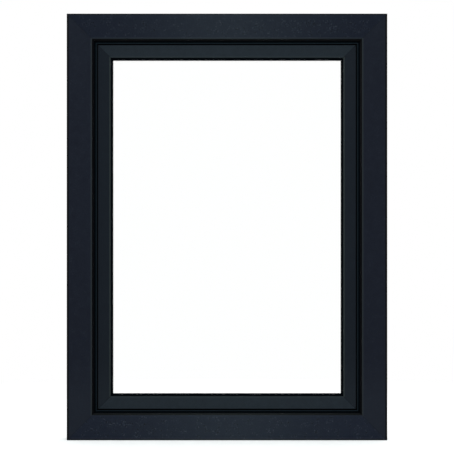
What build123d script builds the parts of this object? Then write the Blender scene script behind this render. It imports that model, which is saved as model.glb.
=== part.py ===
"""Single-leaf PVC window that opens inwards, seen from outside at -Y.

The frame and the sash are each four mitred lengths of a hollow multi-chamber profile. The sash
carries a sealed double-glazed unit, held by clip-in beads on the room side. Rubber seals close the
rebate and the glazing on both sides.

Every section is drawn in two coordinates: u, the distance from the window's outer edge towards the
middle of the glass, and v, the depth from the outer face of the frame towards the room. The window's
origin is the middle of its underside, at half the depth of the frame.
"""

from build123d import *
import math
import os

# Overall size
WINDOW_WIDTH = 800.0
WINDOW_HEIGHT = 1065.0

# Profile walls
WALL = 3.0
WEB = 1.5
EDGE_RADIUS = 1.5
FINE_RADIUS = 0.5

# How far a cutting shape runs past the face that it cuts
OVERCUT = 1.0

# Frame profile
FRAME_DEPTH = 70.0
FRAME_FACE = 64.0
BEVEL_WIDTH = 2.5
BEVEL_DEPTH = 13.0
STOP_DEPTH = 18.0
REBATE_HEIGHT = 44.0
REBATE_FALL = 3.0
REBATE_FALL_WIDTH = 16.0
FRAME_ROWS_OUTSIDE = (8.0, 11.0)
FRAME_ROWS_INSIDE = (7.0, 8.0)
CLIP_GROOVE_MOUTH = 6.0
CLIP_GROOVE_FLARE = 1.0
CLIP_GROOVE_DEPTH = 4.0

# Sash profile
HARDWARE_SPACE = 12.0
FLANGE_OVERLAP = 8.0
FLANGE_THICKNESS = 10.5
FLANGE_RADIUS = 3.0
SEAL_GAP = 3.5
SHADOW_GAP = 10.0
SASH_SETBACK = 15.5
SASH_FACE = 32.0
SASH_FALL = 5.5
SASH_NOSE = 6.0
SASH_ROWS = (6.0, 17.0)
HARDWARE_GROOVE_MOUTH = 12.0
HARDWARE_GROOVE_WIDTH = 16.0
HARDWARE_GROOVE_LIP = 3.0
HARDWARE_GROOVE_DEPTH = 10.0
HARDWARE_GROOVE_AXIS = 13.0

# Glazing
GLASS_REBATE = 20.0
BLOCK_THICKNESS = 5.0
BLOCK_LENGTH = 100.0
BLOCK_FROM_CORNER = 60.0
GLAZING_SEAL = 4.0
PANE = 4.0
CAVITY = 16.0
SPACER_HEIGHT = 6.5
SPACER_WALL = 0.8
SPACER_COVER = 5.0
SPACER_CHAMFER = 1.6
SEALANT_SETBACK = 0.5
SIGHT_LIP = 4.5

# Glazing bead
BEAD_SEAL = 3.3
BEAD_FLAT = 9.0
BEAD_NOSE = 2.5
BEAD_WALL = 1.8
BEAD_FIT = 0.3
HOOK_POSITION = 5.5
HOOK_NECK = 3.6
HOOK_DEPTH = 5.8
HOOK_TOE = 1.5
HOOK_TOE_DEPTH = 3.0
HOOK_FIT = 0.15

# Rubber seals
GROOVE_NECK = 3.0
GROOVE_NECK_DEPTH = 2.0
GROOVE_HEAD = 5.0
GROOVE_HEAD_DEPTH = 2.5
ROOT_FIT = 0.1
SEAL_PRESS = 0.3
STOP_GROOVE_SETBACK = 5.0
FLANGE_GROOVE_SETBACK = 5.0
LEG_GROOVE_SETBACK = 6.6
LIP_REACH = 7.2
LIP_THICKNESS = 1.2
RIDGE_WIDTH = 2.6
RIDGE_HEIGHT = 2.6
RIDGE_RADIUS = 1.0

# Steel reinforcement
STEEL_WALL = 1.5
STEEL_FIT = 0.3
STEEL_END_GAP = 10.0

# Drainage slots and fixing holes
SLOT_LENGTH = 28.0
SLOT_WIDTH = 5.0
SLOT_FROM_CORNER = 150.0
FIXING_RADIUS = 5.0
FIXING_FROM_CORNER = 175.0

# Handle
ROSETTE_WIDTH = 30.0
ROSETTE_HEIGHT = 70.0
ROSETTE_THICKNESS = 11.0
ROSETTE_CORNER = 9.0
ROSETTE_EDGE = 2.5
COLLAR_RADIUS = 11.0
COLLAR_HEIGHT = 4.0
LEVER_WIDTH = 18.0
LEVER_THICKNESS = 12.0
LEVER_CORNER = 3.5
LEVER_END = 2.0
LEVER_REACH = 15.0
LEVER_BEND = 16.0
LEVER_LENGTH = 98.0

# Hinges
HINGE_AXIS_FROM_EDGE = 24.0
HINGE_AXIS_STAND_OFF = 13.0
KNUCKLE_RADIUS = 8.0
KNUCKLE_HEIGHT = 32.0
KNUCKLE_GAP = 0.5
HINGE_FROM_CORNER = 46.0
BRACKET_WIDTH = 22.0
BRACKET_THICKNESS = 4.0
BRACKET_TAIL = 18.0
LEAF_WIDTH = 30.0
LEAF_THICKNESS = 3.5
PLATE_CORNER = 4.0
NECK_WIDTH = 8.0

# Levels worked out from the sizes above
STOP_TIP = FRAME_FACE + BEVEL_WIDTH
SEAL_FACE = STOP_DEPTH + SEAL_GAP
SASH_EDGE = REBATE_HEIGHT + HARDWARE_SPACE
FLANGE_TIP = REBATE_HEIGHT - FLANGE_OVERLAP
FLANGE_BACK = FRAME_DEPTH + SEAL_GAP
SASH_INSIDE = FLANGE_BACK + FLANGE_THICKNESS
SASH_FACE_START = STOP_TIP + SHADOW_GAP
SASH_FACE_END = SASH_FACE_START + SASH_FACE
LEG_BACK = SASH_SETBACK + SASH_FALL + SASH_NOSE
GLASS_BASE = SASH_FACE_END - GLASS_REBATE
GLASS_EDGE = GLASS_BASE + BLOCK_THICKNESS
GLASS_OUTSIDE = LEG_BACK + GLAZING_SEAL
GLASS_INSIDE = GLASS_OUTSIDE + 2 * PANE + CAVITY
BEAD_BACK = GLASS_INSIDE + BEAD_SEAL
SIGHT_LINE = SASH_FACE_END + SIGHT_LIP
HARDWARE_AXIS = FLANGE_BACK - HARDWARE_GROOVE_AXIS
HOOK_LEVEL = BEAD_BACK + HOOK_POSITION

# Node names of the members
FRAME_NAMES = {
    "bottom": "frame_sill",
    "top": "frame_head",
    "left": "frame_jamb_left",
    "right": "frame_jamb_right",
}
SASH_NAMES = {
    "bottom": "sash_bottom_rail",
    "top": "sash_top_rail",
    "left": "sash_stile_left",
    "right": "sash_stile_right",
}


def outline(*corners):
    """Closed face through the corners (u, v, radius); a radius of 0 leaves the corner sharp."""
    points = [(u, v) for u, v, _ in corners]
    radii = [radius for _, _, radius in corners]
    return make_face(FilletPolyline(*points, radius=radii, close=True))


def chamber(*corners):
    """Hollow of a profile, with sharp corners."""
    return make_face(Polyline(*corners, close=True))


def block(u_low, u_high, v_low, v_high):
    """Rectangle of a section between two levels each way."""
    return Pos((u_low + u_high) / 2, (v_low + v_high) / 2) * Rectangle(u_high - u_low, v_high - v_low)


def seal_root(u, v, into, fit=0.0, above=0.0):
    """T-shaped groove that opens at (u, v) and runs along v in the direction into, or the root that
    fills it with the clearance fit. above is how far the neck stands out of the groove."""
    neck = (u - GROOVE_NECK / 2 + fit, u + GROOVE_NECK / 2 - fit)
    head = (u - GROOVE_HEAD / 2 + fit, u + GROOVE_HEAD / 2 - fit)
    levels = [
        v - into * above,
        v + into * (GROOVE_NECK_DEPTH + fit),
        v + into * (GROOVE_NECK_DEPTH + GROOVE_HEAD_DEPTH - fit),
    ]
    return block(*neck, *sorted((levels[0], levels[2]))) + block(*head, *sorted((levels[1], levels[2])))


def bead_hook(fit=0.0, above=0.0):
    """Hooked groove in the glazing rebate that opens at the base, or the bead's foot that fills it
    with the clearance fit."""
    low, high = HOOK_LEVEL - HOOK_NECK / 2 + fit, HOOK_LEVEL + HOOK_NECK / 2 - fit
    bottom = GLASS_BASE - HOOK_DEPTH + fit
    toe_top = bottom + HOOK_TOE_DEPTH - 2 * fit
    return block(bottom, GLASS_BASE + above, low, high) + block(bottom, toe_top, low - HOOK_TOE, high)


def rebate_floor(v):
    """Height of the frame's rebate floor at depth v: it falls to the outside to drain."""
    share = (v - STOP_DEPTH) / REBATE_FALL_WIDTH
    return REBATE_HEIGHT - REBATE_FALL * (1 - min(1.0, max(0.0, share)))


def bevel_wall(v):
    """Inner side of the wall behind the frame's bevel, at depth v."""
    slant = math.hypot(BEVEL_WIDTH, BEVEL_DEPTH)
    return FRAME_FACE + (BEVEL_WIDTH * v - WALL * slant) / BEVEL_DEPTH


def sash_face(u):
    """Depth of the sash's sloping outer face at u."""
    return SASH_SETBACK + SASH_FALL * (u - SASH_FACE_START) / SASH_FACE


def frame_row_levels():
    """Depths at which the frame's rows of chambers start and end, from outside to inside."""
    fixed = [*FRAME_ROWS_OUTSIDE, *FRAME_ROWS_INSIDE]
    steel = FRAME_DEPTH - 2 * WALL - len(fixed) * WEB - sum(fixed)
    levels = []
    v = WALL
    for depth in [*FRAME_ROWS_OUTSIDE, steel, *FRAME_ROWS_INSIDE]:
        levels.append((v, v + depth))
        v += depth + WEB
    return levels


def clip_groove(v):
    """Dovetail groove in the frame's outer side, for clip-on anchors and coupling strips."""
    mouth = CLIP_GROOVE_MOUTH / 2
    root = mouth + CLIP_GROOVE_FLARE
    return outline(
        (-OVERCUT, v - mouth, 0),
        (0, v - mouth, 0),
        (CLIP_GROOVE_DEPTH, v - root, 0),
        (CLIP_GROOVE_DEPTH, v + root, 0),
        (0, v + mouth, 0),
        (-OVERCUT, v + mouth, 0),
    )


def frame_section():
    """L-shaped frame profile: body, rebate floor and the outer stop leg with its bevel."""
    outer, second, steel, fourth, inner = frame_row_levels()
    fall_end = STOP_DEPTH + REBATE_FALL_WIDTH
    body = outline(
        (0, 0, FINE_RADIUS),
        (FRAME_FACE, 0, EDGE_RADIUS),
        (STOP_TIP, BEVEL_DEPTH, EDGE_RADIUS),
        (STOP_TIP, STOP_DEPTH, FINE_RADIUS),
        (REBATE_HEIGHT - REBATE_FALL, STOP_DEPTH, FINE_RADIUS),
        (REBATE_HEIGHT, fall_end, 0),
        (REBATE_HEIGHT, FRAME_DEPTH, EDGE_RADIUS),
        (0, FRAME_DEPTH, FINE_RADIUS),
    )
    web = REBATE_HEIGHT - WALL - WEB
    groove_side = STOP_TIP - STOP_GROOVE_SETBACK - GROOVE_HEAD / 2 - WALL
    behind_clip = CLIP_GROOVE_DEPTH + WALL
    hollows = [
        block(WALL, web, *outer),
        chamber(
            (web + WEB, outer[0]),
            (bevel_wall(outer[0]), outer[0]),
            (bevel_wall(outer[1]), outer[1]),
            (groove_side, outer[1]),
            (groove_side, STOP_DEPTH - WALL),
            (web + WEB, STOP_DEPTH - WALL),
        ),
        block(behind_clip, rebate_floor(second[0]) - WALL, *second),
        chamber(
            (WALL, steel[0]),
            (rebate_floor(steel[0]) - WALL, steel[0]),
            (REBATE_HEIGHT - WALL, fall_end),
            (REBATE_HEIGHT - WALL, steel[1]),
            (WALL, steel[1]),
        ),
        block(behind_clip, REBATE_HEIGHT - WALL, *fourth),
        block(WALL, REBATE_HEIGHT - WALL, *inner),
    ]
    grooves = [
        seal_root(STOP_TIP - STOP_GROOVE_SETBACK, STOP_DEPTH, -1, above=OVERCUT),
        clip_groove(sum(second) / 2),
        clip_groove(sum(fourth) / 2),
    ]
    return body - hollows - grooves


def sash_levels():
    """Start and end depths of the sash's two outer rows of chambers."""
    first = LEG_BACK - WALL + WEB
    second = first + SASH_ROWS[0] + WEB
    return (first, first + SASH_ROWS[0]), (second, second + SASH_ROWS[1])


def sash_section():
    """Z-shaped sash profile: sloping outer leg, body with the hardware groove, inner flange."""
    body = outline(
        (SASH_EDGE, SEAL_FACE, EDGE_RADIUS),
        (SASH_FACE_START, SEAL_FACE, 0),
        (SASH_FACE_START, SASH_SETBACK, EDGE_RADIUS),
        (SASH_FACE_END, SASH_SETBACK + SASH_FALL, 2 * EDGE_RADIUS),
        (SASH_FACE_END, LEG_BACK, FINE_RADIUS),
        (GLASS_BASE, LEG_BACK, 0),
        (GLASS_BASE, SASH_INSIDE, FINE_RADIUS),
        (FLANGE_TIP, SASH_INSIDE, FLANGE_RADIUS),
        (FLANGE_TIP, FLANGE_BACK, FINE_RADIUS),
        (SASH_EDGE, FLANGE_BACK, FINE_RADIUS),
    )
    first, steel = sash_levels()
    low, high = SASH_EDGE + WALL, GLASS_BASE - WALL
    behind_groove = SASH_EDGE + HARDWARE_GROOVE_DEPTH + WALL
    beside_hook = GLASS_BASE - HOOK_DEPTH - WALL
    hook_row = HOOK_LEVEL - HOOK_NECK / 2 - HOOK_TOE - WALL
    flange_row = FLANGE_BACK - WEB
    leg_low, leg_high = SASH_FACE_START + WALL, SASH_FACE_END - LEG_GROOVE_SETBACK - GROOVE_HEAD / 2 - WALL
    hollows = [
        chamber(
            (leg_low, sash_face(leg_low) + WALL),
            (leg_high, sash_face(leg_high) + WALL),
            (leg_high, LEG_BACK - WALL),
            (leg_low, LEG_BACK - WALL),
        ),
        block(low, high, *first),
        block(low, high, *steel),
        block(behind_groove, high, steel[1] + WEB, hook_row),
        block(behind_groove, beside_hook, hook_row + WEB, flange_row - WEB),
        block(behind_groove, high, flange_row, SASH_INSIDE - WALL),
        block(
            FLANGE_TIP + FLANGE_GROOVE_SETBACK + GROOVE_HEAD / 2 + WALL,
            behind_groove - WEB,
            FLANGE_BACK + WALL,
            SASH_INSIDE - WALL,
        ),
    ]
    mouth, pocket = HARDWARE_GROOVE_MOUTH / 2, HARDWARE_GROOVE_WIDTH / 2
    grooves = [
        block(
            SASH_EDGE - OVERCUT,
            SASH_EDGE + HARDWARE_GROOVE_DEPTH,
            HARDWARE_AXIS - mouth,
            HARDWARE_AXIS + mouth,
        ),
        block(
            SASH_EDGE + HARDWARE_GROOVE_LIP,
            SASH_EDGE + HARDWARE_GROOVE_DEPTH,
            HARDWARE_AXIS - pocket,
            HARDWARE_AXIS + pocket,
        ),
        seal_root(FLANGE_TIP + FLANGE_GROOVE_SETBACK, FLANGE_BACK, 1, above=OVERCUT),
        seal_root(SASH_FACE_END - LEG_GROOVE_SETBACK, LEG_BACK, -1, above=OVERCUT),
        bead_hook(above=OVERCUT),
    ]
    return body - hollows - grooves


def bead_section():
    """Glazing bead: a hollow wedge with a hooked foot that snaps into the sash."""
    base = GLASS_BASE + BEAD_FIT
    top = SASH_INSIDE - BEAD_FIT
    shoulder = base + BEAD_FLAT
    nose_level = BEAD_BACK + BEAD_NOSE
    body = outline(
        (base, BEAD_BACK, FINE_RADIUS),
        (SASH_FACE_END, BEAD_BACK, FINE_RADIUS),
        (SASH_FACE_END, nose_level, EDGE_RADIUS),
        (shoulder, top, 2 * EDGE_RADIUS),
        (base, top, FINE_RADIUS),
    )
    slope = (shoulder - SASH_FACE_END) / (top - nose_level)
    floor = HOOK_LEVEL + HOOK_NECK / 2
    wall = BEAD_WALL * math.hypot(1, slope)
    hollow = chamber(
        (base + BEAD_WALL, floor),
        (SASH_FACE_END + slope * (floor - nose_level) - wall, floor),
        (shoulder + slope * -BEAD_WALL - wall, top - BEAD_WALL),
        (base + BEAD_WALL, top - BEAD_WALL),
    )
    return body + bead_hook(HOOK_FIT, above=BEAD_FIT + FINE_RADIUS) - hollow


def stop_seal_section():
    """Outer rebate seal on the frame: its lip bridges the gap to the sash and ends in a ridge."""
    u = STOP_TIP - STOP_GROOVE_SETBACK
    press = SEAL_FACE - SEAL_PRESS
    tip = STOP_TIP + LIP_REACH
    lip_front = STOP_DEPTH - LIP_THICKNESS
    ridge_front = STOP_DEPTH - RIDGE_HEIGHT
    lip = outline(
        (u - GROOVE_HEAD / 2, STOP_DEPTH, 0),
        (STOP_TIP + ROOT_FIT, STOP_DEPTH, 0),
        (STOP_TIP + ROOT_FIT, lip_front, 0),
        (tip - RIDGE_WIDTH, lip_front, 0),
        (tip - RIDGE_WIDTH, ridge_front, RIDGE_RADIUS),
        (tip, ridge_front, RIDGE_RADIUS),
        (tip, press, RIDGE_RADIUS),
        (u + GROOVE_HEAD / 2, press, RIDGE_RADIUS),
        (u - GROOVE_HEAD / 2, STOP_DEPTH + LIP_THICKNESS, 0),
    )
    bulb = block(STOP_TIP + ROOT_FIT, tip - LIP_THICKNESS, STOP_DEPTH + FINE_RADIUS, press - LIP_THICKNESS)
    return lip + seal_root(u, STOP_DEPTH, -1, ROOT_FIT, above=FINE_RADIUS) - bulb


def flange_seal_section():
    """Inner rebate seal in the sash's flange: it closes on the frame's inner face."""
    u = FLANGE_TIP + FLANGE_GROOVE_SETBACK
    press = FRAME_DEPTH + SEAL_PRESS
    lip = outline(
        (u - GROOVE_HEAD / 2, FLANGE_BACK, 0),
        (u - GROOVE_HEAD / 2 - EDGE_RADIUS, press, EDGE_RADIUS / 2),
        (u + EDGE_RADIUS, press, EDGE_RADIUS / 2),
        (u + GROOVE_HEAD / 2, FLANGE_BACK, 0),
    )
    return lip + seal_root(u, FLANGE_BACK, 1, ROOT_FIT, above=FINE_RADIUS)


def outer_glazing_seal_section():
    """Seal between the sash's outer leg and the glass, with the lip that shows round the pane."""
    u = SASH_FACE_END - LEG_GROOVE_SETBACK
    lip = outline(
        (u - GROOVE_HEAD / 2, LEG_BACK, 0),
        (SASH_FACE_END + ROOT_FIT, LEG_BACK, 0),
        (SASH_FACE_END + ROOT_FIT, LEG_BACK - EDGE_RADIUS, FINE_RADIUS),
        (SIGHT_LINE, GLASS_OUTSIDE - EDGE_RADIUS, FINE_RADIUS),
        (SIGHT_LINE, GLASS_OUTSIDE, 0),
        (u - GROOVE_HEAD / 2, GLASS_OUTSIDE, 0),
    )
    return lip + seal_root(u, LEG_BACK, -1, ROOT_FIT, above=FINE_RADIUS)


def inner_glazing_seal_section():
    """Soft lip on the bead, pressed on the glass from the room side."""
    return outline(
        (SASH_FACE_END - GROOVE_HEAD, GLASS_INSIDE, 0),
        (SIGHT_LINE, GLASS_INSIDE, 0),
        (SIGHT_LINE, GLASS_INSIDE + EDGE_RADIUS, FINE_RADIUS),
        (SASH_FACE_END + ROOT_FIT, BEAD_BACK + EDGE_RADIUS, FINE_RADIUS),
        (SASH_FACE_END + ROOT_FIT, BEAD_BACK, 0),
        (SASH_FACE_END - GROOVE_HEAD, BEAD_BACK, 0),
    )


def spacer_section():
    """Hollow bar that keeps the panes apart, with chamfered outer corners."""
    low = GLASS_EDGE + SPACER_COVER
    high = low + SPACER_HEIGHT
    outside, inside = GLASS_OUTSIDE + PANE, GLASS_INSIDE - PANE
    shell = outline(
        (low, outside + SPACER_CHAMFER, 0),
        (low + SPACER_CHAMFER, outside, 0),
        (high, outside, 0),
        (high, inside, 0),
        (low + SPACER_CHAMFER, inside, 0),
        (low, inside - SPACER_CHAMFER, 0),
    )
    hollow = block(
        low + SPACER_CHAMFER,
        high - SPACER_WALL,
        outside + SPACER_WALL,
        inside - SPACER_WALL,
    )
    return shell - hollow


def edge_sealant_section():
    """Sealant that closes the edge of the glass unit behind the spacer bar."""
    high = GLASS_EDGE + SPACER_COVER
    outside, inside = GLASS_OUTSIDE + PANE, GLASS_INSIDE - PANE
    return outline(
        (GLASS_EDGE + SEALANT_SETBACK, outside, 0),
        (high + SPACER_CHAMFER, outside, 0),
        (high, outside + SPACER_CHAMFER, 0),
        (high, inside - SPACER_CHAMFER, 0),
        (high + SPACER_CHAMFER, inside, 0),
        (GLASS_EDGE + SEALANT_SETBACK, inside, 0),
    )


def steel_tube(u_low, u_high, v_low, v_high):
    """Rectangular steel tube that slides into a chamber with the same bounds."""
    tube = block(u_low + STEEL_FIT, u_high - STEEL_FIT, v_low + STEEL_FIT, v_high - STEEL_FIT)
    inset = STEEL_FIT + STEEL_WALL
    return tube - block(u_low + inset, u_high - inset, v_low + inset, v_high - inset)


def side_planes():
    """Plane and length of each side's section; x is u and y is v in every plane."""
    half, front = WINDOW_WIDTH / 2, -FRAME_DEPTH / 2
    return {
        "bottom": (Plane((half, front, 0), x_dir=(0, 0, 1), z_dir=(-1, 0, 0)), WINDOW_WIDTH),
        "top": (Plane((-half, front, WINDOW_HEIGHT), x_dir=(0, 0, -1), z_dir=(1, 0, 0)), WINDOW_WIDTH),
        "left": (Plane((-half, front, 0), x_dir=(1, 0, 0), z_dir=(0, 0, 1)), WINDOW_HEIGHT),
        "right": (Plane((half, front, WINDOW_HEIGHT), x_dir=(-1, 0, 0), z_dir=(0, 0, -1)), WINDOW_HEIGHT),
    }


def mitre_wedge(side):
    """Prism that holds one side of the window, cut off at 45 degrees through the corners."""
    half, top = WINDOW_WIDTH / 2, WINDOW_HEIGHT
    reach = SIGHT_LINE + WALL
    outside = [(-half, 0), (half, 0), (half, top), (-half, top)]
    inside = [
        (-half + reach, reach),
        (half - reach, reach),
        (half - reach, top - reach),
        (-half + reach, top - reach),
    ]
    first = ["bottom", "right", "top", "left"].index(side)
    second = (first + 1) % 4
    plan = Polyline(outside[first], outside[second], inside[second], inside[first], close=True)
    return extrude(Plane.XZ * make_face(plan), 2 * SASH_INSIDE, both=True)


def member(section, side):
    """One mitred length of a profile along a side of the window."""
    plane, length = side_planes()[side]
    return extrude(plane * section, length) & mitre_wedge(side)


def members(section):
    """The four mitred lengths of a profile, by side."""
    return {side: member(section, side) for side in side_planes()}


def ring(section):
    """One unbroken loop of a section round the window."""
    loop = Part()
    for length in members(section).values():
        loop += length
    return loop


def steel_bar(section, side, u_high):
    """Square-cut steel in one side, short of the weld at both ends."""
    plane, length = side_planes()[side]
    start = u_high + STEEL_END_GAP
    return extrude(plane.offset(start) * section, length - 2 * start)


def drain_slots():
    """Milled slots that let water out of the rebate through the front chambers and the underside."""
    outer, second, *_ = frame_row_levels()
    front = -FRAME_DEPTH / 2
    floor = rebate_floor(STOP_DEPTH)
    cuts = []
    for x in (-WINDOW_WIDTH / 2 + SLOT_FROM_CORNER, WINDOW_WIDTH / 2 - SLOT_FROM_CORNER):
        slot = SlotOverall(SLOT_LENGTH, SLOT_WIDTH)
        rebate_v = STOP_DEPTH + SLOT_WIDTH / 2 + FINE_RADIUS
        through_floor = Plane.XY.offset(floor - WALL - OVERCUT) * Pos(x, front + rebate_v)
        cuts.append(extrude(through_floor * slot, WALL + REBATE_FALL + 2 * OVERCUT))
        underside = Plane.XY.offset(-OVERCUT) * Pos(x, front + sum(outer) / 2)
        cuts.append(extrude(underside * slot, WALL + 2 * OVERCUT))
        web = (outer[1] + second[0]) / 2
        height = CLIP_GROOVE_DEPTH + WALL + SLOT_WIDTH
        cuts.append(Pos(x, front + web, height) * Box(SLOT_LENGTH, 2 * WEB, SLOT_WIDTH))
    return cuts


def fixing_holes(side):
    """Holes through a jamb, across the frame, for the screws into the wall."""
    *_, steel, _, _ = frame_row_levels()
    y = -FRAME_DEPTH / 2 + sum(steel) / 2
    x = (-1 if side == "left" else 1) * WINDOW_WIDTH / 2
    return [
        Pos(x, y, z) * Rot(0, 90, 0) * Cylinder(FIXING_RADIUS, 2 * SASH_EDGE)
        for z in (FIXING_FROM_CORNER, WINDOW_HEIGHT - FIXING_FROM_CORNER)
    ]


def glass_pane(v):
    """One sheet of glass with its outer face at depth v."""
    width, height = WINDOW_WIDTH - 2 * GLASS_EDGE, WINDOW_HEIGHT - 2 * GLASS_EDGE
    y = v + PANE / 2 - FRAME_DEPTH / 2
    return Pos(0, y, WINDOW_HEIGHT / 2) * Box(width, PANE, height)


def setting_block(side):
    """Packer under the glass that carries its weight on the sash's bottom rail."""
    x = WINDOW_WIDTH / 2 - GLASS_EDGE - BLOCK_FROM_CORNER - BLOCK_LENGTH / 2
    depth = BEAD_BACK - LEG_BACK - 2 * BEAD_FIT
    y = (BEAD_BACK + LEG_BACK) / 2 - FRAME_DEPTH / 2
    z = GLASS_BASE + BLOCK_THICKNESS / 2
    return Pos((-x if side == "left" else x), y, z) * Box(BLOCK_LENGTH, depth, BLOCK_THICKNESS)


def handle_face():
    """Plane on the left stile's room side that the handle is screwed to, at half the height."""
    x = -WINDOW_WIDTH / 2 + (FLANGE_TIP + GLASS_BASE) / 2
    y = SASH_INSIDE - FRAME_DEPTH / 2
    return Plane((x, y, WINDOW_HEIGHT / 2), x_dir=(-1, 0, 0), z_dir=(0, 1, 0))


def rosette():
    """Rounded plate with a bevelled edge and the round collar that the lever turns in."""
    face = handle_face()
    plate = extrude(face * RectangleRounded(ROSETTE_WIDTH, ROSETTE_HEIGHT, ROSETTE_CORNER), ROSETTE_THICKNESS)
    plate = chamfer(plate.faces().sort_by(Axis.Y)[-1].edges(), ROSETTE_EDGE)
    return plate + extrude(face.offset(ROSETTE_THICKNESS) * Circle(COLLAR_RADIUS), COLLAR_HEIGHT)


def lever():
    """Lever in the closed position: it stands out from the collar and bends to point down."""
    foot = handle_face().offset(ROSETTE_THICKNESS + COLLAR_HEIGHT)
    corner = foot.origin + Vector(0, LEVER_REACH + LEVER_BEND, 0)
    end = corner - Vector(0, 0, LEVER_BEND + LEVER_LENGTH)
    path = FilletPolyline(foot.origin, corner, end, radius=[LEVER_BEND])
    grip = Rectangle(LEVER_WIDTH, LEVER_THICKNESS)
    grip = chamfer(grip.vertices(), LEVER_CORNER)
    bar = sweep(foot * grip, path=path)
    return chamfer(bar.faces().sort_by(Axis.Z)[0].edges(), LEVER_END)


def hinge(side):
    """Bracket on the frame and leaf on the sash of one corner hinge, on the right-hand side."""
    x = WINDOW_WIDTH / 2 - HINGE_AXIS_FROM_EDGE
    frame_y = FRAME_DEPTH / 2
    y = frame_y + HINGE_AXIS_STAND_OFF
    sash_y = SASH_INSIDE - FRAME_DEPTH / 2
    bottom = HINGE_FROM_CORNER
    knuckle = Pos(x, y, bottom + KNUCKLE_HEIGHT / 2) * Cylinder(KNUCKLE_RADIUS, KNUCKLE_HEIGHT)
    low, high = bottom - BRACKET_TAIL, bottom + KNUCKLE_HEIGHT
    plate = Pos(x, frame_y + BRACKET_THICKNESS / 2, (low + high) / 2) * Box(
        BRACKET_WIDTH, BRACKET_THICKNESS, high - low
    )
    plate = chamfer(plate.edges().filter_by(Axis.Y), PLATE_CORNER)
    neck = Pos(x, frame_y + HINGE_AXIS_STAND_OFF / 2, bottom + KNUCKLE_HEIGHT / 2) * Box(
        NECK_WIDTH, HINGE_AXIS_STAND_OFF, KNUCKLE_HEIGHT
    )
    bracket = plate + neck + knuckle
    start = bottom + KNUCKLE_HEIGHT + KNUCKLE_GAP
    middle = start + KNUCKLE_HEIGHT / 2
    barrel = Pos(x, y, middle) * Cylinder(KNUCKLE_RADIUS, KNUCKLE_HEIGHT)
    wing = Pos(x - LEAF_WIDTH / 2, sash_y + LEAF_THICKNESS / 2, middle) * Box(
        LEAF_WIDTH, LEAF_THICKNESS, KNUCKLE_HEIGHT
    )
    wing = chamfer(wing.edges().filter_by(Axis.Y).sort_by(Axis.X)[:2], PLATE_CORNER)
    leaf = barrel + wing
    if side == "upper":
        across = Plane((0, 0, WINDOW_HEIGHT / 2), x_dir=(1, 0, 0), z_dir=(0, 0, 1))
        return mirror(bracket, about=across), mirror(leaf, about=across)
    return bracket, leaf


def build():
    """All pieces of the window by node name."""
    pieces = {}
    for side, length in members(frame_section()).items():
        pieces[FRAME_NAMES[side]] = length
    for side, length in members(sash_section()).items():
        pieces[SASH_NAMES[side]] = length
    for side, length in members(bead_section()).items():
        pieces[f"glazing_bead_{side}"] = length

    for cut in drain_slots():
        pieces["frame_sill"] -= cut

    _, _, steel, _, _ = frame_row_levels()
    frame_steel_high = rebate_floor(steel[0]) - WALL
    frame_tube = steel_tube(WALL, frame_steel_high, *steel)
    sash_tube = steel_tube(SASH_EDGE + WALL, GLASS_BASE - WALL, *sash_levels()[1])
    for side in side_planes():
        pieces[f"frame_steel_{side}"] = steel_bar(frame_tube, side, frame_steel_high)
        pieces[f"sash_steel_{side}"] = steel_bar(sash_tube, side, GLASS_BASE - WALL)

    for side in ("left", "right"):
        for hole in fixing_holes(side):
            pieces[f"frame_jamb_{side}"] -= hole
            pieces[f"frame_steel_{side}"] -= hole
        pieces[f"setting_block_{side}"] = setting_block(side)

    pieces["frame_seal"] = ring(stop_seal_section())
    pieces["sash_seal"] = ring(flange_seal_section())
    pieces["outer_glazing_seal"] = ring(outer_glazing_seal_section())
    pieces["inner_glazing_seal"] = ring(inner_glazing_seal_section())
    pieces["spacer_bar"] = ring(spacer_section())
    pieces["edge_sealant"] = ring(edge_sealant_section())
    pieces["outer_pane"] = glass_pane(GLASS_OUTSIDE)
    pieces["inner_pane"] = glass_pane(GLASS_OUTSIDE + PANE + CAVITY)

    pieces["handle_rosette"] = rosette()
    pieces["handle_lever"] = lever()
    for side in ("lower", "upper"):
        bracket, leaf = hinge(side)
        pieces[f"hinge_{side}_bracket"] = bracket
        pieces[f"hinge_{side}_leaf"] = leaf
    return pieces


os.makedirs("parts", exist_ok=True)
for name, piece in build().items():
    export_step(piece, f"parts/{name}.step")
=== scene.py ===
"""Dark single-leaf PVC window: foil, rubber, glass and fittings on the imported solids.

The foil's grain runs along each length of profile, so its shine spreads across the profile: the head
and sill catch the lamp above the middle, and the jambs don't. The handle and hinges are finer
surfaces in the place of their solids. Lengths are in metres.
"""

import bpy
import numpy as np
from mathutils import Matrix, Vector


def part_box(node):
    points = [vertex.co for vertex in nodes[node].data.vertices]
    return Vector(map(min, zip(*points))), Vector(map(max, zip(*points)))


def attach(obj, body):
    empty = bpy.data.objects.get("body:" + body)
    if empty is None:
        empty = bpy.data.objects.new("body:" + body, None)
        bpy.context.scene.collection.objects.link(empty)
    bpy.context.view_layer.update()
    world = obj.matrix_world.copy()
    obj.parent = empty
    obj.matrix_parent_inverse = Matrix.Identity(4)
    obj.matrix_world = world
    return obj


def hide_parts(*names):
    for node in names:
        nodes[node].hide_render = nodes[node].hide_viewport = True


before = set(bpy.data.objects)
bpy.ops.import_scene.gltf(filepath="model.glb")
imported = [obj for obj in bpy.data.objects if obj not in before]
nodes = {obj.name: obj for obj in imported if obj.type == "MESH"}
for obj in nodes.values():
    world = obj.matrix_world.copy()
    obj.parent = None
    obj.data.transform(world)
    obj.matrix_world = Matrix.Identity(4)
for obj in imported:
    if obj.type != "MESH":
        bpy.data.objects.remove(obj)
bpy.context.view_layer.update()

# Window, from the frame: its outline, its two faces, and how far in the frame and the sash reach
HALF_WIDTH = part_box("frame_sill")[1].x
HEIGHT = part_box("frame_head")[1].z
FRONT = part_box("frame_head")[0].y
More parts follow.
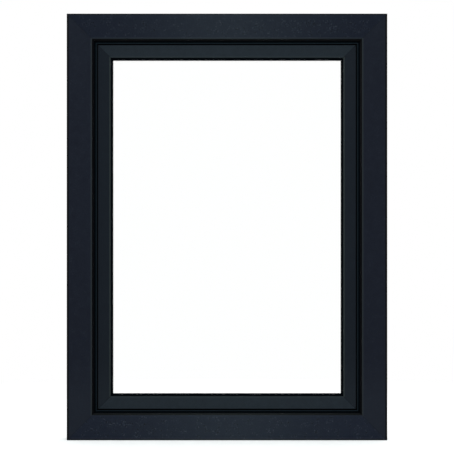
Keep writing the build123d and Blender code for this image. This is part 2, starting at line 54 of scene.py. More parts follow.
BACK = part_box("frame_head")[1].y
FRAME_REACH = HALF_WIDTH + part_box("frame_jamb_left")[1].x
SASH_REACH = HALF_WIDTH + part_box("sash_stile_left")[1].x

# Camera: the width that it shows at the window's face, and its sensor in millimetres
PICTURE_WIDTH = 1.133
CAMERA_DISTANCE = 4.5
SENSOR = 36.0

# Floor: its reach, where the window's shadow begins to fade and ends, and the floor's own white there
FLOOR_REACH = 30.0
SHADOW_REACH = 0.6
SHADOW_END = 3 * SHADOW_REACH
NEAR_GLOW = 0.4

# Foil at the inner end of a face: the bevel, how far before the end it bends, half the width of the
# painted highlight on that bend, and where it rounds off into painted shade
BEVEL_WIDTH = 0.0025
FRAME_BEND_IN = 0.0029
SASH_BEND_IN = 0.0019
BEND_HALF_WIDTH = 0.0016
FRAME_EDGE_ROUND = 0.0018
SASH_EDGE_ROUND = 0.0004

# Foil at the outer end of a face: the rim of painted shade on the jambs, on head and sill and on the
# sash, the width over which it fades, and the gap from the frame to the sash's face
JAMB_RIM = 0.0055
END_RIM = 0.0030
SASH_RIM = 0.0013
RIM_FADE = 0.0012
SHADOW_GAP = 0.0100

# Foil on the outer sides: how far it wraps on to them from both faces, and how deep their grooves go
FOIL_WRAP = 0.006
GROOVE_FLOOR = 0.0046

# Weld: half its seam's width, and the seam's depth as a number of times the grain's
WELD_HALF_WIDTH = 0.0005
WELD_DEPTH = 1.5

# Painted light on the upright lengths, paler towards their foot: the levels where it ends and where it
# is full, and its share there
FOOT_LIGHT_TOP = 0.200
FOOT_LIGHT_FULL = 0.095
FOOT_LIGHT_SHARE = 0.5

# Embossing: its grooves in repeats per metre, its depth, and the foil's least and most roughness
GROOVES_ACROSS = 900.0
GROOVES_INTO = 700.0
GROOVES_ALONG = 90.0
GRAIN_DEPTH = 0.00010
FOIL_ROUGHNESS = (0.41, 0.49)

# Ranges of noise over which the grain goes from dark to pale, a patch of glints begins, and a point
# of the embossing catches the light or lies in shade
GRAIN_RANGE = (0.36, 0.64)
PATCH_RANGE = (0.50, 0.57)
CAUGHT_RANGE = (0.60, 0.68)
SHADED_RANGE = (0.40, 0.34)

# Range that most of a noise keeps to
NOISE_RANGE = (0.3, 0.7)

# Rubber: how deep the rebate seal's crest, which has a painted highlight, lies behind the frame's face,
# and how far it rounds over
CREST_DEPTH = 0.0154
CREST_ROUND = 0.0004

# Spacer bar: the pitch of its pinholes, and the radii where a hole's shade begins and is full
PINHOLE_PITCH = 0.004
PINHOLE_RADII = (0.0005, 0.0003)

# Handle: the radius of the lever's bend and of its neck, the power of its superellipse, the share of
# its length over which it widens, and the share of its thickness that it loses there
LEVER_BEND = 0.016
NECK_RADIUS = 0.0060
GRIP_ROUND = 2.7
GRIP_START = 0.45
GRIP_THINNING = 0.12

# Rosette and its collar
COLLAR_RADIUS = 0.011
COLLAR_HEIGHT = 0.004
ROSETTE_CORNER = 0.009
ROSETTE_EDGE = 0.0032

# Hinges: the groove's flank is a share of its width, which is twice its depth
KNUCKLE_RADIUS = 0.008
KNUCKLE_HEIGHT = 0.032
BRACKET_THICKNESS = 0.004
LEAF_THICKNESS = 0.0035
PLATE_CORNER = 0.004
PLATE_EDGE = 0.0012
CAP_HEIGHT = 0.006
CAP_GROOVE = 0.0004
GROOVE_FLANK = 0.2

# Resolution of the fine surfaces: points on an edge's quarter round and round a rod, and the lever's
# steps out of the collar, round its bend, down the grip and over its tip, which stays a hair open.
# Edges over the sharp angle aren't smoothed
ARC_STEPS = 9
ROUND_STEPS = 48
OUT_STEPS = 8
BEND_STEPS = 21
DOWN_STEPS = 39
TIP_STEPS = 13
TIP_CLOSED = 0.9995
SHARP_ANGLE = 0.7

FRAME_VERTICAL = ["frame_jamb_left", "frame_jamb_right"]
SASH_HORIZONTAL = ["sash_top_rail", "sash_bottom_rail", "glazing_bead_top", "glazing_bead_bottom"]
SASH_VERTICAL = ["sash_stile_left", "sash_stile_right", "glazing_bead_left", "glazing_bead_right"]
SEALS = ["frame_seal", "sash_seal", "outer_glazing_seal", "inner_glazing_seal", "edge_sealant"]


# Node helpers


def new_material(name):
    """Empty Principled material: its tree, its shader and the Object coordinates."""
    material = bpy.data.materials.new(name)
    material.use_nodes = True
    tree = material.node_tree
    shader = tree.nodes["Principled BSDF"]
    place = tree.nodes.new("ShaderNodeTexCoord").outputs["Object"]
    return material, tree, shader, place


def put(tree, value, socket):
    """Links a socket, or sets a plain value, on an input socket."""
    if isinstance(value, bpy.types.NodeSocket):
        tree.links.new(value, socket)
    else:
        socket.default_value = value


def calc(tree, operation, *values):
    """One Math node on numbers or sockets."""
    node = tree.nodes.new("ShaderNodeMath")
    node.operation = operation
    for value, socket in zip(values, node.inputs):
        put(tree, value, socket)
    return node.outputs[0]


def weighted(tree, *pairs):
    """Sum of sockets, each times its weight."""
    total = 0.0
    for value, weight in pairs:
        total = calc(tree, "MULTIPLY_ADD", value, weight, total)
    return total


def parts_of(tree, place):
    """The X, Y and Z of a place."""
    node = tree.nodes.new("ShaderNodeSeparateXYZ")
    put(tree, place, node.inputs[0])
    return node.outputs


def stretch(tree, place, scale):
    """Object coordinates times a scale for each axis."""
    node = tree.nodes.new("ShaderNodeMapping")
    put(tree, place, node.inputs["Vector"])
    node.inputs["Scale"].default_value = scale
    return node.outputs["Vector"]


def noise(tree, place, scale, detail=3.0, roughness=0.55):
    """Noise between 0 and 1 at a scale given for each axis, in repeats per metre."""
    node = tree.nodes.new("ShaderNodeTexNoise")
    put(tree, stretch(tree, place, scale), node.inputs["Vector"])
    node.inputs["Scale"].default_value = 1.0
    node.inputs["Detail"].default_value = detail
    node.inputs["Roughness"].default_value = roughness
    return node.outputs["Fac"]


def blend_colour(tree, factor, low, high):
    """Colour between two, by a factor between 0 and 1."""
    node = tree.nodes.new("ShaderNodeMix")
    node.data_type = "RGBA"
    put(tree, factor, node.inputs["Factor"])
    put(tree, low, node.inputs["A"])
    put(tree, high, node.inputs["B"])
    return node.outputs["Result"]


def remap(tree, value, low, high, to_low=0.0, to_high=1.0):
    """Value moved from one range to another, from 0 to 1 unless told otherwise, and clamped."""
    node = tree.nodes.new("ShaderNodeMapRange")
    put(tree, value, node.inputs["Value"])
    ends = {"From Min": low, "From Max": high, "To Min": to_low, "To Max": to_high}
    for name, number in ends.items():
        node.inputs[name].default_value = number
    return node.outputs["Result"]


def roughen(tree, shader, texture, smoother, rougher):
    """Roughness between two values, following a noise."""
    put(tree, remap(tree, texture, *NOISE_RANGE, smoother, rougher), shader.inputs["Roughness"])


def bump(tree, shader, height, depth):
    """Bump of a height counted in times a depth."""
    node = tree.nodes.new("ShaderNodeBump")
    node.inputs["Strength"].default_value = 1.0
    node.inputs["Distance"].default_value = depth
    put(tree, height, node.inputs["Height"])
    tree.links.new(node.outputs["Normal"], shader.inputs["Normal"])


def colour(red, green, blue):
    """Opaque colour in linear values."""
    return (red, green, blue, 1.0)


def tinted(tone, tint, amount):
    """Opaque colour of a tone with an amount of a tint added."""
    return tuple(value + amount * more for value, more in zip(tone, tint)) + (1.0,)


# Materials

# The darker and the paler colour of each finish
CORE = colour(0.0100, 0.0110, 0.0125), colour(0.0150, 0.0160, 0.0175)
RUBBER = colour(0.0001, 0.0008, 0.0018), colour(0.0008, 0.0020, 0.0035)
ALUMINIUM = colour(0.16, 0.17, 0.18), colour(0.26, 0.27, 0.28)
ZINC = colour(0.42, 0.43, 0.45), colour(0.60, 0.61, 0.63)
COATING = colour(0.0060, 0.0085, 0.0135), colour(0.0090, 0.0125, 0.0190)
PACKER = colour(0.018, 0.019, 0.020), colour(0.030, 0.031, 0.033)

WELD_DARK = colour(0.0020, 0.0035, 0.0060)
# Painted shade: the foil near black on its outer rim and past the bend at its inner end
EDGE_SHADE_PAINT = colour(0.0002, 0.0006, 0.0014)
# Painted highlight on the crest of the rebate seal
CREST_HIGHLIGHT_PAINT = colour(0.0120, 0.0190, 0.0250)
HOLE_DARK = colour(0.02, 0.02, 0.02)
GLASS_CLEAR = colour(0.997, 1.0, 0.999)

# Tints added to the foil's tone (the painted highlight on the bend, the painted light at the foot of
# the uprights, the grain and the glints), and the share of its tone that a shaded point of the
# embossing loses
BEND_HIGHLIGHT_PAINT = (0.0140, 0.0170, 0.0130)
FOOT_LIGHT_PAINT = (0.0066, 0.0080, 0.0088)
GRAIN_TINT = (0.72, 1.00, 1.36)
GLINT_PALE = (0.0210, 0.0230, 0.0270)
SHADE_LOSS = 0.9


def profile_place(tree, place):
    """Where a point lies on its profile: its distance from the nearest 45 degree weld, its distance in
    from the window's outer edge, its depth and its level. The weld is where the distance from the
    nearest jamb side equals that from the nearest end, so its distance is their gap over root two."""
    x, depth, level = parts_of(tree, place)
    from_side = calc(tree, "SUBTRACT", HALF_WIDTH, calc(tree, "ABSOLUTE", x))
    from_end = calc(tree, "MINIMUM", level, calc(tree, "SUBTRACT", HEIGHT, level))
    gap = calc(tree, "ABSOLUTE", calc(tree, "SUBTRACT", from_side, from_end))
    weld = calc(tree, "MULTIPLY", gap, 1 / np.sqrt(2))
    return weld, calc(tree, "MINIMUM", from_side, from_end), depth, level


def face_marks(tree, place, edge):
    """Where the foil differs across its profile, as shares from 0 to 1: the weld's seam, the painted
    highlight on the bend before the inner end of the face, the painted shade past that bend and along
    the outer rim, and the core left bare on the outer sides. The level comes with them."""
    rim_end, face_end, bend_in, edge_round = edge
    weld, inward, depth, level = profile_place(tree, place)
    seam = remap(tree, weld, WELD_HALF_WIDTH, 0.3 * WELD_HALF_WIDTH)
    outside = calc(tree, "LESS_THAN", depth, 0.0)
    # Painted shade along the outer rim and past the bend before the inner end of the face
    rim = remap(tree, inward, rim_end, rim_end - RIM_FADE)
    past_end = remap(tree, inward, face_end - edge_round, face_end - 0.5 * edge_round)
    painted_shade = calc(tree, "MULTIPLY", calc(tree, "MAXIMUM", rim, past_end), outside)
    # Painted highlight over the bend before the inner end of the face
    off_bend = calc(tree, "ABSOLUTE", calc(tree, "SUBTRACT", inward, face_end - bend_in))
    near_bend = remap(tree, off_bend, BEND_HALF_WIDTH, 0.5 * BEND_HALF_WIDTH)
    painted_bend_highlight = calc(tree, "MULTIPLY", near_bend, outside)
    outer_side = calc(tree, "LESS_THAN", inward, GROOVE_FLOOR)
    behind_wrap = calc(tree, "LESS_THAN", calc(tree, "ABSOLUTE", depth), BACK - FOIL_WRAP)
    return seam, painted_bend_highlight, painted_shade, calc(tree, "MULTIPLY", outer_side, behind_wrap), level


def embossing(tree, place, speckle, tone, contrast, glint):
    """Colour of the foil's face: a grain round its tone, and patches where points of the embossing
    catch the light or lie in their own shade."""
    emboss = noise(tree, place, (290.0, 290.0, 290.0), detail=1.0)
    blotch = noise(tree, place, (60.0, 60.0, 60.0), detail=2.0)
    cloud = noise(tree, place, (5.0, 5.0, 5.0), detail=2.0)
    spread = weighted(tree, (speckle, 0.45), (blotch, 0.4), (cloud, 0.15))
    darker = tinted(tone, GRAIN_TINT, -contrast)
    paler = tinted(tone, GRAIN_TINT, contrast)
    shade = blend_colour(tree, remap(tree, spread, *GRAIN_RANGE), darker, paler)
    patch = remap(tree, blotch, *PATCH_RANGE, 0.0, glint)
    caught = calc(tree, "MULTIPLY", remap(tree, emboss, *CAUGHT_RANGE), patch)
    shaded = calc(tree, "MULTIPLY", remap(tree, emboss, *SHADED_RANGE), patch)
    shade = blend_colour(tree, caught, shade, tinted(tone, GLINT_PALE, 1.0))
    return blend_colour(tree, shaded, shade, tinted(tone, tone, -SHADE_LOSS))


def foil(name, grain_axis, tone, contrast, glint, shine, bend_highlight, edge):
    """Embossed foil. Its fine grooves run along the profile, so its shine spreads across them. A
    painted highlight makes it a little paler over the bend before the inner end of the face, painted
    shade makes it near black where it rounds off past the bend and along the outer rim, and the bare
    core shows on the outer sides. Painted light makes the foot of the upright lengths paler."""
    material, tree, shader, place = new_material(name)
    if grain_axis == "x":
        scale, along, foot_light_share = (GROOVES_ALONG, GROOVES_INTO, GROOVES_ACROSS), (1.0, 0.0, 0.0), 0.0
    else:
        scale, along, foot_light_share = (GROOVES_ACROSS, GROOVES_INTO, GROOVES_ALONG), (0.0, 0.0, 1.0), FOOT_LIGHT_SHARE
    fine = noise(tree, place, scale, detail=4.0, roughness=0.6)
    speckle = noise(tree, place, (260.0, 260.0, 260.0), detail=3.0, roughness=0.5)
    seam, painted_bend_highlight, painted_shade, core, level = face_marks(tree, place, edge)

    shade = embossing(tree, place, speckle, tone, contrast, glint)
    # Painted light: paler towards the foot of the upright lengths
    painted_foot_light = remap(tree, level, FOOT_LIGHT_TOP, FOOT_LIGHT_FULL, 0.0, foot_light_share)
    shade = blend_colour(tree, painted_foot_light, shade, tinted(tone, FOOT_LIGHT_PAINT, 1.0))
    # Painted highlight over the bend before the inner end of the face
    shade = blend_colour(tree, painted_bend_highlight, shade, tinted(tone, BEND_HIGHLIGHT_PAINT, bend_highlight))
    # Painted shade along the outer rim and past the bend
    shade = blend_colour(tree, painted_shade, shade, EDGE_SHADE_PAINT)
    shade = blend_colour(tree, core, shade, blend_colour(tree, fine, *CORE))
    shade = blend_colour(tree, seam, shade, WELD_DARK)
    put(tree, shade, shader.inputs["Base Color"])

    roughen(tree, shader, fine, *FOIL_ROUGHNESS)
    shader.inputs["Specular IOR Level"].default_value = shine
    shader.inputs["Anisotropic"].default_value = 1.0
    shader.inputs["Anisotropic Rotation"].default_value = 0.25
    tangent = tree.nodes.new("ShaderNodeCombineXYZ")
    for value, socket in zip(along, tangent.inputs):
        socket.default_value = value
    tree.links.new(tangent.outputs[0], shader.inputs["Tangent"])

    bump(tree, shader, weighted(tree, (fine, 0.6), (speckle, 0.4), (seam, -WELD_DEPTH)), GRAIN_DEPTH)
    return material


def black_rubber():
    """Extruded rubber with a fine surface from the die, and a painted highlight on the crest of the
    rebate seal.
    """
    material, tree, shader, place = new_material("black_rubber")
    grime = noise(tree, place, (60.0, 60.0, 60.0), detail=4.0)
    # Painted highlight: paler on the crest of the rebate seal
    crest = FRONT + CREST_DEPTH
    painted_crest_highlight = remap(tree, parts_of(tree, place)["Y"], crest, crest + CREST_ROUND, 1.0, 0.0)
    shade = blend_colour(tree, grime, *RUBBER)
    put(tree, blend_colour(tree, painted_crest_highlight, shade, CREST_HIGHLIGHT_PAINT), shader.inputs["Base Color"])
    roughen(tree, shader, grime, 0.6, 0.8)
    shader.inputs["Specular IOR Level"].default_value = 0.02
    bump(tree, shader, noise(tree, place, (1500.0, 1500.0, 1500.0)), depth=0.00005)
    return material


def clear_glass():
    """Float glass with a very faint unevenness in its polish."""
    material, tree, shader, place = new_material("clear_glass")
    shader.inputs["Base Color"].default_value = GLASS_CLEAR
    shader.inputs["Transmission Weight"].default_value = 1.0
    shader.inputs["IOR"].default_value = 1.45
    shader.inputs["Specular IOR Level"].default_value = 0.2
    roughen(tree, shader, noise(tree, place, (8.0, 8.0, 8.0)), 0.0, 0.004)
    return material


def spacer_metal():
    """Anodised aluminium bar with a row of pinholes along the middle of its face. X plus Z counts the
    way along each side, and a hole's distance is the root of the squares along and across."""
    material, tree, shader, place = new_material("spacer_metal")
    x, depth, z = parts_of(tree, place)
    low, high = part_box("spacer_bar")
    across = calc(tree, "SUBTRACT", depth, (low.y + high.y) / 2)
    pitches = calc(tree, "MULTIPLY", calc(tree, "ADD", x, z), 1 / PINHOLE_PITCH)
    along = calc(tree, "SUBTRACT", calc(tree, "FRACT", pitches), 0.5)
    along = calc(tree, "MULTIPLY", along, PINHOLE_PITCH)
    squares = calc(tree, "ADD", calc(tree, "POWER", across, 2.0), calc(tree, "POWER", along, 2.0))
    hole = remap(tree, calc(tree, "SQRT", squares), *PINHOLE_RADII)
    brushed = noise(tree, place, (300.0, 2500.0, 300.0))
    shade = blend_colour(tree, brushed, *ALUMINIUM)
    put(tree, blend_colour(tree, hole, shade, HOLE_DARK), shader.inputs["Base Color"])
    shader.inputs["Metallic"].default_value = 1.0
    roughen(tree, shader, brushed, 0.32, 0.48)
    bump(tree, shader, calc(tree, "SUBTRACT", brushed, hole), depth=0.00005)
    return material


def galvanised_steel():
    """Zinc-coated steel with its crystal pattern."""
    material, tree, shader, place = new_material("galvanised_steel")
    crystals = tree.nodes.new("ShaderNodeTexVoronoi")
    put(tree, stretch(tree, place, (120.0, 120.0, 120.0)), crystals.inputs["Vector"])
    crystals.inputs["Scale"].default_value = 1.0
    crystal = crystals.outputs["Distance"]
    put(tree, blend_colour(tree, crystal, *ZINC), shader.inputs["Base Color"])
    shader.inputs["Metallic"].default_value = 1.0
    put(tree, remap(tree, crystal, 0.0, 0.8, 0.3, 0.5), shader.inputs["Roughness"])
    bump(tree, shader, crystal, depth=0.00005)
    return material


def powder_coat(name):
    """Dark powder coat with a very fine orange peel."""
    material, tree, shader, place = new_material(name)
    peel = noise(tree, place, (1400.0, 1400.0, 1400.0))
    put(tree, blend_colour(tree, peel, *COATING), shader.inputs["Base Color"])
    roughen(tree, shader, peel, 0.30, 0.40)
    shader.inputs["Specular IOR Level"].default_value = 0.13
    bump(tree, shader, peel, depth=0.00004)
    return material


def moulded_plastic():
    """Plain dark moulded plastic for the packers under the glass."""
    material, tree, shader, place = new_material("moulded_plastic")
    fleck = noise(tree, place, (500.0, 500.0, 500.0))
    put(tree, blend_colour(tree, fleck, *PACKER), shader.inputs["Base Color"])
    roughen(tree, shader, fleck, 0.45, 0.6)
    bump(tree, shader, fleck, depth=0.00006)
    return material


def dress(names, material):
    """Gives CAD nodes a material."""
    for name in names:
        mesh = nodes[name].data
        mesh.materials.clear()
        mesh.materials.append(material)


# Fine surfaces


def corners_of(name):
    """Lowest and highest corner of a node, as arrays."""
    return tuple(np.array(corner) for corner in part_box(name))


def skin(rings):
    """Closed shell through rings of points, rows by columns by 3: quads between neighbouring rings, and
    a fan to the middle of the first and of the last ring. It is turned outwards where its signed
    volume, a sixth of the sum of a . (b x c) over its triangles, comes out negative."""
    rows, columns, _ = rings.shape
    column = np.arange(columns)
    after = (column + 1) % columns
    start = np.arange(rows - 1)[:, None] * columns
    below = start + columns
    quads = np.stack([start + column, start + after, below + after, below + column], -1).reshape(-1, 4)
    end = (rows - 1) * columns
    first, last = np.full(columns, rows * columns), np.full(columns, rows * columns + 1)
    fans = np.concatenate([
        np.stack([first, after, column], -1),
        np.stack([last, end + column, end + after], -1),
    ])
    points = np.concatenate([rings.reshape(-1, 3), rings[[0, -1]].mean(axis=1)])
    corners = points[np.concatenate([quads[:, [0, 1, 2]], quads[:, [0, 2, 3]], fans])]
    volume = np.einsum("ij,ij->", corners[:, 0], np.cross(corners[:, 1], corners[:, 2]))
    if volume < 0:
        quads, fans = quads[:, ::-1], fans[:, ::-1]
    return points, quads, fans


def quarter_round(edge):
    """Inset and rise of a quarter round: edge times 1 - cos t, and edge times sin t."""
    turn = np.linspace(0.0, np.pi / 2, ARC_STEPS)
    return edge * (1.0 - np.cos(turn)), edge * np.sin(turn)


def slab(low, high, corner, edge):
    """Plate between two corners that faces +Y. Each ring is a rounded rectangle: a corner's middle plus
    (corner - inset) times (cos t, sin t). The inset and rise follow a quarter round at the face."""
    centre, half = (low + high) / 2, (high - low) / 2
    inset, rise = quarter_round(edge)
    inset = np.concatenate([[0.0], inset])
    level = np.concatenate([[low[1]], high[1] - edge + rise])
    quadrant = np.repeat(np.arange(4), ARC_STEPS)
    turn = quadrant * np.pi / 2 + np.tile(np.linspace(0.0, np.pi / 2, ARC_STEPS), 4)
    signs = np.array([(1, 1), (-1, 1), (-1, -1), (1, -1)])[quadrant]
    across = centre[0] + signs[:, 0] * (half[0] - corner) + np.outer(corner - inset, np.cos(turn))
    upward = centre[2] + signs[:, 1] * (half[2] - corner) + np.outer(corner - inset, np.sin(turn))
    return skin(np.stack([across, np.broadcast_to(level[:, None], across.shape), upward], -1))


def turned(centre, axis, radius, height):
    """Surface of revolution about an axis through a point: rings of the given radii at the given
    heights, each point being radius times (cos t, sin t)."""
    turn = np.linspace(0.0, 2 * np.pi, ROUND_STEPS, endpoint=False)
    rings = np.empty((len(radius), ROUND_STEPS, 3))
    first, second = [index for index in range(3) if index != axis]
    rings[..., first] = centre[first] + np.outer(radius, np.cos(turn))
    rings[..., second] = centre[second] + np.outer(radius, np.sin(turn))
    rings[..., axis] = centre[axis] + np.broadcast_to(np.asarray(height)[:, None], rings.shape[:2])
    return skin(rings)


def knuckle(centre, low, high, cap_up):
    """Hinge barrel from one level to another: a rod with both ends rounded over by a quarter round, and
    a cap at its free end behind a fine groove."""
    inset, rise = quarter_round(PLATE_EDGE)
    radii = np.concatenate([(KNUCKLE_RADIUS - inset)[::-1], KNUCKLE_RADIUS - inset])
    heights = np.concatenate([(PLATE_EDGE - rise)[::-1], (high - low) - PLATE_EDGE + rise])
    groove = CAP_GROOVE * np.array([0.0, 1.0, 1.0, 0.0])
    steps = np.array([0.0, GROOVE_FLANK, 1.0, 1.0 + GROOVE_FLANK]) * 2 * CAP_GROOVE
    position = (high - low) - CAP_HEIGHT if cap_up else CAP_HEIGHT
    radii = np.insert(radii, ARC_STEPS, KNUCKLE_RADIUS - groove)
    heights = np.insert(heights, ARC_STEPS, position + steps)
    return turned(np.array([centre[0], centre[1], low]), 2, radii, heights)


def lever_shell():
    """Handle lever: a superellipse |a / w| ^ n + |b / t| ^ n = 1 carried straight out of the collar,
    round a bend and down the grip. w and t go from the neck to the grip by 3 s ^ 2 - 2 s ^ 3, and over
    the tip both shrink as (1 - q ^ n) ^ (1 / n), so the end is rounded."""
    low, high = corners_of("handle_lever")
    half_width = (high[0] - low[0]) / 2
    grip_y, top_z = high[1] - NECK_RADIUS, high[2] - NECK_RADIUS
    tip_length = half_width

    out = np.linspace(low[1], grip_y - LEVER_BEND, OUT_STEPS)
    turn = np.linspace(0.0, np.pi / 2, BEND_STEPS + 1)[1:]
    down = np.linspace(top_z - LEVER_BEND, low[2] + tip_length, DOWN_STEPS + 1)[1:]
    tip = np.sin(np.linspace(0.0, np.pi / 2, TIP_STEPS + 1))[1:]
    in_grip = DOWN_STEPS + TIP_STEPS
    y = np.concatenate([out, grip_y - LEVER_BEND + LEVER_BEND * np.sin(turn), np.full(in_grip, grip_y)])
    z = np.concatenate([
        np.full(OUT_STEPS, top_z),
        top_z - LEVER_BEND + LEVER_BEND * np.cos(turn),
        down,
        low[2] + tip_length * (1.0 - tip),
    ])
    tilt = np.concatenate([np.zeros(OUT_STEPS), turn, np.full(in_grip, np.pi / 2)])
    travel = np.concatenate([[0.0], np.cumsum(np.hypot(np.diff(y), np.diff(z)))])
    grown = np.clip(travel / (travel[-1] * GRIP_START), 0.0, 1.0)
    grown = grown * grown * (3.0 - 2.0 * grown)
    closing = np.ones(len(y))
    closing[-TIP_STEPS:] = (1.0 - np.minimum(tip, TIP_CLOSED) ** GRIP_ROUND) ** (1.0 / GRIP_ROUND)
    wide = (NECK_RADIUS + (half_width - NECK_RADIUS) * grown) * closing
    thick = NECK_RADIUS * (1.0 - GRIP_THINNING * grown) * closing

    angle = np.linspace(0.0, 2 * np.pi, ROUND_STEPS, endpoint=False)
    power = 2.0 / GRIP_ROUND
    side = np.sign(np.cos(angle)) * np.abs(np.cos(angle)) ** power
    front = np.sign(np.sin(angle)) * np.abs(np.sin(angle)) ** power
    rings = np.empty((len(y), ROUND_STEPS, 3))
    rings[..., 0] = (low[0] + high[0]) / 2 + np.outer(wide, side)
    rings[..., 1] = y[:, None] + np.outer(thick * np.sin(tilt), front)
    rings[..., 2] = z[:, None] + np.outer(thick * np.cos(tilt), front)
    return skin(rings)


def rosette_shells():
    """Rounded cover plate and its round collar, whose outer edge is a quarter round."""
    low, high = corners_of("handle_rosette")
    face = high[1] - COLLAR_HEIGHT
    plate = slab(low, np.array([high[0], face, high[2]]), ROSETTE_CORNER, ROSETTE_EDGE)
    inset, rise = quarter_round(PLATE_EDGE)
    radii = np.concatenate([[COLLAR_RADIUS], COLLAR_RADIUS - inset])
    heights = np.concatenate([[-ROSETTE_EDGE], COLLAR_HEIGHT - PLATE_EDGE + rise])
    centre = (low + high) / 2
    return [plate, turned(np.array([centre[0], face, centre[2]]), 1, radii, heights)]


def bracket_shells(name, upper):
    """Plate screwed to the frame, its neck, and the barrel at the end nearer the hinge's middle."""
    low, high = corners_of(name)
    axis = np.array([(low[0] + high[0]) / 2, high[1] - KNUCKLE_RADIUS])
    barrel_low = low[2] if upper else high[2] - KNUCKLE_HEIGHT
    barrel_high = barrel_low + KNUCKLE_HEIGHT
    plate_high = np.array([high[0], low[1] + BRACKET_THICKNESS, high[2]])
    plate = slab(low, plate_high, PLATE_CORNER, PLATE_EDGE)
    half_neck = KNUCKLE_RADIUS / 2
    neck = slab(
        np.array([axis[0] - half_neck, low[1], barrel_low + PLATE_EDGE]),
        np.array([axis[0] + half_neck, axis[1], barrel_high - PLATE_EDGE]),
        PLATE_EDGE,
        PLATE_EDGE / 2,
    )
    return [plate, neck, knuckle(axis, barrel_low, barrel_high, cap_up=upper)]


def leaf_shells(name, upper):
    """Wing on the sash and its barrel, in line with the bracket's."""
    low, high = corners_of(name)
    axis = np.array([high[0] - KNUCKLE_RADIUS, high[1] - KNUCKLE_RADIUS])
    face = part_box("sash_stile_right")[1].y
    wing = slab(
        np.array([low[0], face, low[2]]),
        np.array([axis[0] + PLATE_CORNER / 2, face + LEAF_THICKNESS, high[2]]),
        PLATE_CORNER,
        PLATE_EDGE,
    )
    return [wing, knuckle(axis, low[2], high[2], cap_up=not upper)]


def fine_piece(name, shells, replaced, material):
    """Joins shells into one smooth mesh, sharp across its edges, in the place of a CAD node."""
    starts = np.cumsum([0] + [len(points) for points, _, _ in shells])
    points = np.concatenate([points for points, _, _ in shells])
    faces = []
    for start, (_, quads, fans) in zip(starts, shells):
        faces += (quads + start).tolist()
        faces += (fans + start).tolist()
    mesh = bpy.data.meshes.new(name)
    mesh.from_pydata(points.tolist(), [], faces)
    mesh.polygons.foreach_set("use_smooth", np.ones(len(faces), bool))
    mesh.set_sharp_from_angle(angle=SHARP_ANGLE)
    mesh.materials.append(material)
    piece = bpy.data.objects.new(name, mesh)
    bpy.context.scene.collection.objects.link(piece)
    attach(piece, "root")
    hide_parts(replaced)


frame_bend = (FRAME_REACH - BEVEL_WIDTH, FRAME_BEND_IN, FRAME_EDGE_ROUND)
end_edge, jamb_edge = (END_RIM, *frame_bend), (JAMB_RIM, *frame_bend)
sash_edge = (FRAME_REACH + SHADOW_GAP + SASH_RIM, SASH_REACH, SASH_BEND_IN, SASH_EDGE_ROUND)
for names, name, grain_axis, tone, contrast, glint, shine, bend_highlight, edge in (
    (["frame_head"], "head_foil", "x", (0.0053, 0.0077, 0.0156), 0.0020, 0.8, 0.085, 0.45, end_edge),
    (["frame_sill"], "sill_foil", "x", (0.0042, 0.0073, 0.0171), 0.0022, 1.0, 0.130, 0.15, end_edge),
    (FRAME_VERTICAL, "jamb_foil", "z", (0.0078, 0.0098, 0.0168), 0.0018, 0.2, 0.070, 1.0, jamb_edge),
    # The rails' tone is painted lighter than the stiles', standing in for the light that they catch
    (SASH_HORIZONTAL, "rail_foil_painted_lighter", "x", (0.0180, 0.0228, 0.0290), 0.0022, 0.0, 0.015, 0.5, sash_edge),
    (SASH_VERTICAL, "stile_foil", "z", (0.0076, 0.0104, 0.0152), 0.0010, 0.0, 0.070, 1.4, sash_edge),
):
    dress(names, foil(name, grain_axis, tone, contrast, glint, shine, bend_highlight, edge))
dress(SEALS, black_rubber())
dress(["outer_pane", "inner_pane"], clear_glass())
dress(["spacer_bar"], spacer_metal())
dress([name for name in nodes if "steel" in name], galvanised_steel())
dress(["setting_block_left", "setting_block_right"], moulded_plastic())

handle_coat = powder_coat("handle_coat")
hinge_coat = powder_coat("hinge_coat")
fine_piece("lever_grip", [lever_shell()], "handle_lever", handle_coat)
fine_piece("rosette_cover", rosette_shells(), "handle_rosette", handle_coat)
for end in ("lower", "upper"):
    upper = end == "upper"
    for half, shells in (("bracket", bracket_shells), ("leaf", leaf_shells)):
        node = f"hinge_{end}_{half}"
        fine_piece(f"{end}_hinge_{half}", shells(node, upper), node, hinge_coat)


# Staging


def area_lamp(name, place, size, power, tint=(1.0, 1.0, 1.0)):
    """Rectangular soft lamp aimed at the window's middle."""
    data = bpy.data.lights.new(name, "AREA")
    data.shape = "RECTANGLE"
    data.size, data.size_y = size
    data.energy = power
    data.color = tint
    lamp = bpy.data.objects.new(name, data)
    lamp.location = place
    aim = Vector((0.0, 0.0, HEIGHT / 2)) - Vector(place)
    lamp.rotation_euler = aim.to_track_quat("-Z", "Y").to_euler()
    bpy.context.scene.collection.objects.link(lamp)


def seen_directly(tree):
    """1 on camera, glossy and transmission rays, and 0 on the rest."""
    rays = tree.nodes.new("ShaderNodeLightPath").outputs
    either = calc(tree, "MAXIMUM", rays["Is Camera Ray"], rays["Is Transmission Ray"])
    return calc(tree, "MAXIMUM", either, rays["Is Glossy Ray"])


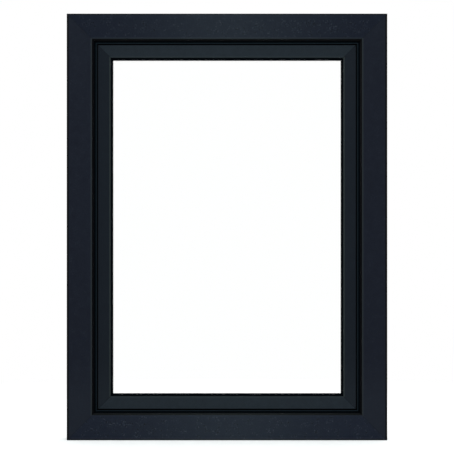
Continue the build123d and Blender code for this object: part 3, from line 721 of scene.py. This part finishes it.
def white_floor():
    """Floor that shows white, with the window's soft shadow in its diffuse share, which fades out
    with the distance from the window."""
    reach = FLOOR_REACH
    corners = [(-reach, -reach, 0.0), (reach, -reach, 0.0), (reach, reach, 0.0), (-reach, reach, 0.0)]
    mesh = bpy.data.meshes.new("floor")
    mesh.from_pydata(corners, [], [(0, 1, 2, 3)])
    material = bpy.data.materials.new("floor_white")
    material.use_nodes = True
    tree = material.node_tree
    tree.nodes.clear()
    matt = tree.nodes.new("ShaderNodeBsdfDiffuse")
    span = tree.nodes.new("ShaderNodeVectorMath")
    span.operation = "LENGTH"
    put(tree, tree.nodes.new("ShaderNodeTexCoord").outputs["Object"], span.inputs[0])
    away = span.outputs["Value"]
    direct = seen_directly(tree)
    share = remap(tree, away, SHADOW_REACH, SHADOW_END, NEAR_GLOW, 1.0)
    far = remap(tree, away, SHADOW_REACH, SHADOW_END)
    left = calc(tree, "SUBTRACT", 1.0, calc(tree, "MULTIPLY", direct, far))
    pale = blend_colour(tree, left, colour(0.0, 0.0, 0.0), colour(0.8, 0.8, 0.8))
    put(tree, pale, matt.inputs["Color"])
    glow = tree.nodes.new("ShaderNodeEmission")
    put(tree, calc(tree, "MULTIPLY", direct, share), glow.inputs["Strength"])
    both = tree.nodes.new("ShaderNodeAddShader")
    tree.links.new(matt.outputs[0], both.inputs[0])
    tree.links.new(glow.outputs[0], both.inputs[1])
    tree.links.new(both.outputs[0], tree.nodes.new("ShaderNodeOutputMaterial").inputs["Surface"])
    mesh.materials.append(material)
    floor = bpy.data.objects.new("floor", mesh)
    bpy.context.scene.collection.objects.link(floor)


def white_world(plain_level):
    """White to the camera, in reflections and through glass; a plain soft level on the rest."""
    world = bpy.data.worlds.new("studio")
    bpy.context.scene.world = world
    world.use_nodes = True
    tree = world.node_tree
    strength = remap(tree, seen_directly(tree), 0.0, 1.0, plain_level, 1.0)
    background = tree.nodes["Background"]
    background.inputs["Color"].default_value = colour(1.0, 1.0, 1.0)
    put(tree, strength, background.inputs["Strength"])


area_lamp("strip_in_front", (0.0, -3.4, 2.1), size=(0.3, 0.8), power=44.0, tint=(0.72, 0.98, 1.0))
area_lamp("side_left", (-3.6, -0.6, 1.6), size=(0.8, 1.6), power=22.0)
area_lamp("side_right", (3.6, 0.6, 1.6), size=(0.8, 1.6), power=16.0)
area_lamp("room_side", (0.9, 2.6, 2.4), size=(1.4, 1.2), power=30.0)
white_floor()
white_world(plain_level=0.7)

camera_data = bpy.data.cameras.new("camera")
camera_data.sensor_width = SENSOR
camera_data.lens = SENSOR * CAMERA_DISTANCE / PICTURE_WIDTH
camera_data.clip_end = 100.0
camera = bpy.data.objects.new("camera", camera_data)
camera.location = (0.0, FRONT - CAMERA_DISTANCE, HEIGHT / 2)
camera.rotation_euler = (np.pi / 2, 0.0, 0.0)
bpy.context.scene.collection.objects.link(camera)
bpy.context.scene.camera = camera
bpy.context.scene.view_settings.view_transform = "Standard"
